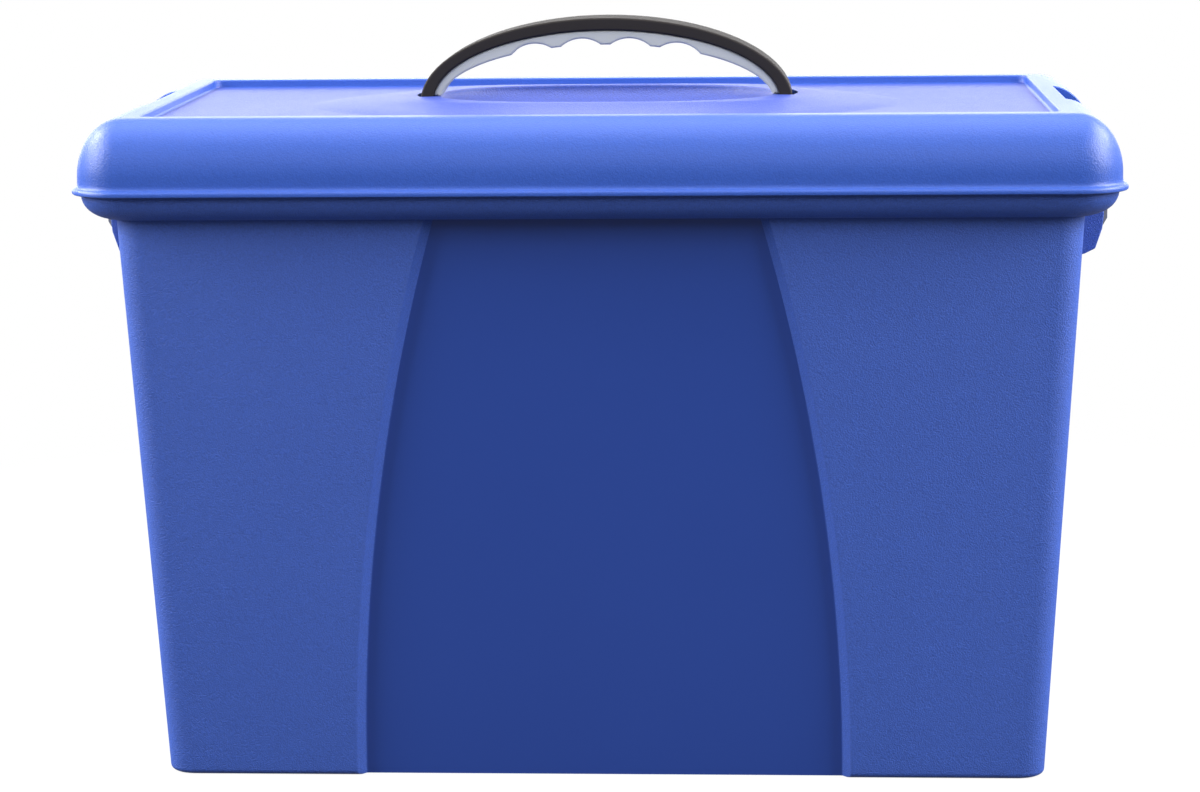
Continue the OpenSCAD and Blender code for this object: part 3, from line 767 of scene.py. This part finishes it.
def build_grain_group():
    """Spark-textured plastic: small soft pits of two sizes, as a height in units of its own."""
    group, start, end = new_group(
        "moulded_grain",
        [("Grain Size", "NodeSocketFloat", 1.0), ("Coarse Share", "NodeSocketFloat", 0.5)],
        [("Height", "NodeSocketFloat")])
    place = add(group, "ShaderNodeTexCoord")
    scale = add(group, "ShaderNodeMath", operation="DIVIDE", i0=1 / MM)
    fine = add(group, "ShaderNodeTexNoise", Detail=2.0, Roughness=0.6)
    coarse = add(group, "ShaderNodeTexNoise", Detail=1.0, Roughness=0.5)
    wider = add(group, "ShaderNodeMath", operation="MULTIPLY", i1=COARSE_SCALE)
    mix = add(group, "ShaderNodeMix", data_type="FLOAT")
    link = group.links.new
    link(start.outputs["Grain Size"], scale.inputs[1])
    link(scale.outputs[0], fine.inputs["Scale"])
    link(scale.outputs[0], wider.inputs[0])
    link(wider.outputs[0], coarse.inputs["Scale"])
    for noise in (fine, coarse):
        link(place.outputs["Object"], noise.inputs["Vector"])
    link(start.outputs["Coarse Share"], mix.inputs["Factor"])
    link(fine.outputs[0], mix.inputs["A"])
    link(coarse.outputs[0], mix.inputs["B"])
    link(mix.outputs["Result"], end.inputs["Height"])
    return group


grain_group = build_grain_group()
print("node group:", grain_group.name)

# %% [markdown]
# ### The drift of colour and gloss, and painted shade in the grain
# No large moulding is quite even: its colour and gloss wander a little over a hand's width. One slow
# noise gives the wandering. The grain's own height also paints shade and light into the colour: the
# pits are darker and the skin between them lighter, so that the painted shade lies on the bumps.

# %% Drift group, with painted shade in the grain's pits


def build_drift_and_pit_shade_group():
    """A slow drift of colour and gloss, as on any large moulding, and painted shade in the grain's pits."""
    group, start, end = new_group(
        "colour_drift_and_pit_shade",
        [("Color", "NodeSocketColor", (0.5, 0.5, 0.5, 1)), ("Drift", "NodeSocketFloat", 0.05),
         ("Gloss Drift", "NodeSocketFloat", 0.05), ("Roughness", "NodeSocketFloat", 0.5),
         ("Grain", "NodeSocketFloat", 0.5), ("Pit Shade", "NodeSocketFloat", 0.0)],
        [("Color", "NodeSocketColor"), ("Roughness", "NodeSocketFloat")])
    place = add(group, "ShaderNodeTexCoord")
    cloud = add(group, "ShaderNodeTexNoise", Scale=9.0, Detail=3.0, Roughness=0.55)
    centred = add(group, "ShaderNodeMath", operation="SUBTRACT", i1=0.5)
    tint = add(group, "ShaderNodeMath", operation="MULTIPLY_ADD", i2=1.0)
    gloss = add(group, "ShaderNodeMath", operation="MULTIPLY_ADD")
    # painted shade: the grain's height darkens the colour in its pits and lightens it between them
    pits = add(group, "ShaderNodeMath", operation="SUBTRACT", i1=0.5)
    dark = add(group, "ShaderNodeMath", operation="MULTIPLY_ADD")
    scaled = add(group, "ShaderNodeVectorMath", operation="SCALE")
    link = group.links.new
    link(start.outputs["Grain"], pits.inputs[0])
    link(pits.outputs[0], dark.inputs[0])
    link(start.outputs["Pit Shade"], dark.inputs[1])
    link(tint.outputs[0], dark.inputs[2])
    link(place.outputs["Object"], cloud.inputs["Vector"])
    link(cloud.outputs[0], centred.inputs[0])
    link(centred.outputs[0], tint.inputs[0])
    link(start.outputs["Drift"], tint.inputs[1])
    link(start.outputs["Color"], scaled.inputs[0])
    link(dark.outputs[0], scaled.inputs["Scale"])
    link(scaled.outputs[0], end.inputs["Color"])
    link(centred.outputs[0], gloss.inputs[0])
    link(start.outputs["Gloss Drift"], gloss.inputs[1])
    link(start.outputs["Roughness"], gloss.inputs[2])
    link(gloss.outputs[0], end.inputs["Roughness"])
    return group


drift_and_pit_shade_group = build_drift_and_pit_shade_group()
print("node group:", drift_and_pit_shade_group.name)

# %% [markdown]
# ### The plastics
# One function makes every plastic of the box, so that grain and gloss differ only where the real
# ones do. The tub's wings are grained, and their blue, a little paler than the lid's, is a painted
# sheen. Its sunk panels are nearly smooth, and their darker blue is painted shade. The lid is satin,
# and its recess is grained as deeply as the wings, which spreads the light from behind into a pale
# sheen; the recess's darker blue is painted shade. The strap is dull and reflects a warm tone. Single
# values go straight to the shader's own sockets.

# %% Plastics
COARSE_SHARE, COLOR_DRIFT, GLOSS_DRIFT = 0.2, 0.08, 0.12


def plastic(name, color, roughness, grain_size, grain_depth, specular=0.5, pit_shade=0.0, sheen=(1, 1, 1)):
    """A moulded plastic. grain_size and grain_depth are in millimetres."""
    material = bpy.data.materials.new(name)
    material.use_nodes = True
    tree = material.node_tree
    shader = tree.nodes["Principled BSDF"]
    shader.inputs["Specular IOR Level"].default_value = specular
    shader.inputs["Specular Tint"].default_value = (*sheen, 1)
    slow = add(tree, "ShaderNodeGroup", node_tree=drift_and_pit_shade_group)
    slow.inputs["Color"].default_value = (*color, 1)
    slow.inputs["Drift"].default_value = COLOR_DRIFT
    # the strength of the painted shade in the grain's pits
    slow.inputs["Pit Shade"].default_value = pit_shade
    slow.inputs["Gloss Drift"].default_value = GLOSS_DRIFT
    slow.inputs["Roughness"].default_value = roughness
    grain = add(tree, "ShaderNodeGroup", node_tree=grain_group)
    grain.inputs["Grain Size"].default_value = grain_size
    grain.inputs["Coarse Share"].default_value = COARSE_SHARE
    bump = add(tree, "ShaderNodeBump", Strength=1.0, Distance=grain_depth * MM)
    tree.links.new(grain.outputs["Height"], slow.inputs["Grain"])
    tree.links.new(grain.outputs["Height"], bump.inputs["Height"])
    tree.links.new(bump.outputs["Normal"], shader.inputs["Normal"])
    tree.links.new(slow.outputs["Color"], shader.inputs["Base Color"])
    tree.links.new(slow.outputs["Roughness"], shader.inputs["Roughness"])
    return material


# one plastic in four blues: the wings' paler blue is a painted sheen, and the sunk panels' and the lid
# recess's darker blues are painted shade
BLUE = (0.026, 0.080, 0.385)
WING_BLUE_SHEEN = (0.032, 0.087, 0.405)
PANEL_BLUE_SHADED = (0.014, 0.050, 0.285)
TOP_BLUE_SHADED = (0.022, 0.052, 0.325)
wing_blue = plastic("tub_grained_sheen", WING_BLUE_SHEEN, 0.55, 0.6, 0.5, pit_shade=1.0)
panel_blue = plastic("tub_smooth_panel_shaded", PANEL_BLUE_SHADED, 0.38, 0.7, 0.01)
lid_blue = plastic("lid_satin", BLUE, 0.4, 0.7, 0.2, specular=0.44, pit_shade=0.5)
lid_top_blue = plastic("lid_grained_top_shaded", TOP_BLUE_SHADED, 0.52, 0.7, 0.5, specular=0.8, pit_shade=1.2)
strap_black = plastic("strap_black", (0.016, 0.015, 0.016), 0.7, 0.6, 0.1, specular=0.2,
                      sheen=(1, 0.86, 0.74))
grip_grey = plastic("grip_grey", (0.38, 0.40, 0.39), 0.5, 0.6, 0.03)
latch_grey = plastic("latch_grey", (0.18, 0.19, 0.22), 0.45, 0.6, 0.03)
print("plastics:", [m.name for m in bpy.data.materials])

# %% [markdown]
# ### Where each finish and painted shade goes
# The tub's wings and ends carry the mould's grain and the paler blue of painted sheen, and its sunk
# panels are smoother, with the darker blue of painted shade. The lid is satin on its round-over, and
# grained in the recess with the darker blue of painted shade. The faces are sorted by place and
# direction.

# %% Give the skins their finishes and painted shade
FACES_OUT, FACES_UP = 0.98, 0.2


def set_materials(piece, materials, choose):
    """Fills the piece's material slots and gives each face the slot that choose() names."""
    piece.data.materials.clear()
    for material in materials:
        piece.data.materials.append(material)
    for face in piece.data.polygons:
        face.material_index = choose(face.center, face.normal)


def tub_finish_and_shade(at, normal):
    # the sunk panel's faces get the smooth finish and the darker blue of painted shade
    on_panel = abs(normal.y) > FACES_OUT and normal.y * at.y > 0 and at.z < wall_h
    return int(on_panel and abs(at.x) < panel_at(at.z) - PANEL_STEP)


def lid_finish_and_shade(at, normal):
    # the recess's upward faces get the grain and the darker blue of painted shade
    in_recess = abs(at.x) < recess_x - MM and abs(at.y) < recess_y - MM
    outside = at.z > crest_z - SCOOP_D - EDGE
    return int(in_recess and outside and normal.z > FACES_UP)


set_materials(tub_moulding, [wing_blue, panel_blue], tub_finish_and_shade)
set_materials(lid_moulding, [lid_blue, lid_top_blue], lid_finish_and_shade)
print("skins finished")

# %% [markdown]
# ### Steel for the hinge pins
# A hinge pin is a cut of drawn wire: bare metal, with the fine unevenness that drawing leaves. It
# shares the slow drift with the plastics, and needs no grain at 3 mm across.

# %% Steel and the CAD pieces' finishes
steel = bpy.data.materials.new("pin_steel")
steel.use_nodes = True
metal = steel.node_tree.nodes["Principled BSDF"]
metal.inputs["Metallic"].default_value = 1.0
drawn = add(steel.node_tree, "ShaderNodeGroup", node_tree=drift_and_pit_shade_group,
            Color=(0.55, 0.55, 0.57, 1), Roughness=0.32)
steel.node_tree.links.new(drawn.outputs["Color"], metal.inputs["Base Color"])
steel.node_tree.links.new(drawn.outputs["Roughness"], metal.inputs["Roughness"])

CAD_FINISH = {"handle_strap": strap_black, "handle_grip": grip_grey, "latch_left": latch_grey,
              "latch_right": latch_grey, "latch_pin_left": steel, "latch_pin_right": steel}
for node, material in CAD_FINISH.items():
    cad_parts[node].data.materials.clear()
    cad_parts[node].data.materials.append(material)
print("finishes given to", 2 + len(CAD_FINISH), "pieces")

# %% [markdown]
# ## The floor
# The picture's background is pure white, but a white floor would throw light up under the rim, which
# is dark on the real box. So the floor is white only to the camera. Near the box a small share of
# that white is a plain diffuse surface, which takes the box's shadow and fades out further away.
# Other rays meet a dark floor, and mirrored rays a faint gleam, which keeps the plastic from going
# black where it reflects the floor.

# %% Floor
FLOOR_HALF = 6.0
FLOOR_DARK, FLOOR_GLEAM = 0.09, 0.35
SHADOW_SHARE, SHADOW_NEAR, SHADOW_FAR = 0.1, 0.25, 0.7
floor_mesh = bpy.data.meshes.new("floor")
corners = [(x * FLOOR_HALF, y * FLOOR_HALF, 0) for x, y in ((-1, -1), (1, -1), (1, 1), (-1, 1))]
floor_mesh.from_pydata(corners, [], [(0, 1, 2, 3)])
floor = bpy.data.objects.new("floor", floor_mesh)
bpy.context.scene.collection.objects.link(floor)
floor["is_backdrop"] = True

floor_look = bpy.data.materials.new("floor")
floor_look.use_nodes = True
tree = floor_look.node_tree
tree.nodes.clear()
out = add(tree, "ShaderNodeOutputMaterial")
ray = add(tree, "ShaderNodeLightPath")
white = add(tree, "ShaderNodeEmission", Color=(1, 1, 1, 1), Strength=1.0)
pale = add(tree, "ShaderNodeBsdfDiffuse", Color=(0.8, 0.8, 0.8, 1))
dark = add(tree, "ShaderNodeBsdfDiffuse", Color=(FLOOR_DARK, FLOOR_DARK, FLOOR_DARK, 1))
gleam = add(tree, "ShaderNodeEmission", Color=(1, 1, 1, 1), Strength=FLOOR_GLEAM)
mirrored = add(tree, "ShaderNodeMixShader")
seen = add(tree, "ShaderNodeMixShader")
pick = add(tree, "ShaderNodeMixShader")
place = add(tree, "ShaderNodeTexCoord")
reach = add(tree, "ShaderNodeVectorMath", operation="LENGTH")
fade = add(tree, "ShaderNodeMapRange", From_Min=SHADOW_NEAR, From_Max=SHADOW_FAR,
           To_Min=SHADOW_SHARE, To_Max=0.0)
link = tree.links.new
link(place.outputs["Object"], reach.inputs[0])
link(reach.outputs["Value"], fade.inputs["Value"])
link(fade.outputs["Result"], seen.inputs[0])
link(white.outputs[0], seen.inputs[1])
link(pale.outputs[0], seen.inputs[2])
link(ray.outputs["Is Glossy Ray"], mirrored.inputs[0])
link(dark.outputs[0], mirrored.inputs[1])
link(gleam.outputs[0], mirrored.inputs[2])
link(ray.outputs["Is Camera Ray"], pick.inputs[0])
link(mirrored.outputs[0], pick.inputs[1])
link(seen.outputs[0], pick.inputs[2])
link(pick.outputs[0], out.inputs[0])
floor_mesh.materials.append(floor_look)
print("floor", 2 * FLOOR_HALF, "m wide")

# %% [markdown]
# ## The world
# The lid's top is seen at a low angle, so it mirrors whatever is behind the box, and in the real
# picture that is a lit white backdrop. The world gives mirrored rays such a backdrop: bright behind
# the box and dark on the camera's side. It adds almost nothing to the plain light, which would make
# every side of the box equally bright.

# %% World
PLAIN_LIGHT = 0.04
BACKDROP_DARK, BACKDROP_BRIGHT = 0.05, 1.2
BACKDROP_STARTS, BACKDROP_FULL = -0.5, 0.3
world = bpy.data.worlds.new("studio")
bpy.context.scene.world = world
world.use_nodes = True
tree = world.node_tree
tree.nodes.clear()
out = add(tree, "ShaderNodeOutputWorld")
ray = add(tree, "ShaderNodeLightPath")
seen = add(tree, "ShaderNodeBackground", Color=(1, 1, 1, 1), Strength=1.0)
lit = add(tree, "ShaderNodeBackground", Color=(1, 1, 1, 1), Strength=PLAIN_LIGHT)
shine = add(tree, "ShaderNodeBackground", Color=(1, 1, 1, 1))
place = add(tree, "ShaderNodeTexCoord")
split = add(tree, "ShaderNodeSeparateXYZ")
behind = add(tree, "ShaderNodeMapRange", From_Min=BACKDROP_STARTS, From_Max=BACKDROP_FULL,
             To_Min=BACKDROP_DARK, To_Max=BACKDROP_BRIGHT)
mirrored = add(tree, "ShaderNodeMixShader")
pick = add(tree, "ShaderNodeMixShader")
link = tree.links.new
link(place.outputs["Generated"], split.inputs[0])
link(split.outputs["Y"], behind.inputs["Value"])
link(behind.outputs["Result"], shine.inputs["Strength"])
link(ray.outputs["Is Glossy Ray"], mirrored.inputs[0])
link(lit.outputs[0], mirrored.inputs[1])
link(shine.outputs[0], mirrored.inputs[2])
link(ray.outputs["Is Camera Ray"], pick.inputs[0])
link(mirrored.outputs[0], pick.inputs[1])
link(seen.outputs[0], pick.inputs[2])
link(pick.outputs[0], out.inputs[0])
print("backdrop up to", BACKDROP_BRIGHT)

# %% [markdown]
# ## The lamps
# Each lamp is a softbox with one task. The one on top gives a soft light from above. The two at the
# sides light the ends and run a bright line down each corner. The small high ones give each front
# corner of the lid its highlight. The long one over the front lights the round-over and the bead, the
# low one at the back grazes the lid's top, and the front one fills the walls. Standard view keeps a
# rendered colour close to the one that is written.

# %% Lamps


def lamp(name, at, aim, wide, high, watts):
    """A softbox: a flat lamp that faces a point."""
    data = bpy.data.lights.new(name, "AREA")
    data.shape, data.size, data.size_y, data.energy = "RECTANGLE", wide, high, watts
    item = bpy.data.objects.new(name, data)
    item.location = at
    item.rotation_euler = (Vector(aim) - Vector(at)).to_track_quat("-Z", "Y").to_euler()
    bpy.context.scene.collection.objects.link(item)


MIDDLE, LID = (0, 0, 0.15), (0, 0, 0.26)
LID_LEFT, LID_RIGHT = (-0.2, 0, 0.26), (0.2, 0, 0.26)
lamp("top", (0, 0.3, 1.7), MIDDLE, 1.6, 1.0, 12)
lamp("left", (-1.5, -0.5, 0.95), MIDDLE, 1.0, 1.0, 45)
lamp("right", (1.5, -0.5, 0.95), MIDDLE, 1.0, 1.0, 44)
lamp("high left", (-1.3, 0.4, 1.15), LID_LEFT, 0.55, 0.55, 27)
lamp("high right", (1.3, 0.4, 1.15), LID_RIGHT, 0.55, 0.55, 21)
lamp("over", (0, -0.45, 1.7), LID, 1.4, 0.5, 8)
lamp("back", (-0.3, 1.7, 0.5), (0, 0, 0.28), 2.6, 0.7, 19)
lamp("front", (0.2, -1.6, 1.25), MIDDLE, 1.8, 0.9, 10)
bpy.context.scene.view_settings.view_transform = "Standard"
print("lamps:", len(bpy.data.lights))

# %% [markdown]
# ## The two boxes
# The growth of the dressed part's box over the CAD part's box is printed for each side, which shows
# whether dressing the part has made it larger.

# %% Print the growth of the box
look_box = [list(corner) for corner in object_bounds()]
sides = zip(cad_box[0] + cad_box[1], look_box[0] + look_box[1])
print("grown by, mm:", [round((look - cad) / MM, 2) for cad, look in sides])
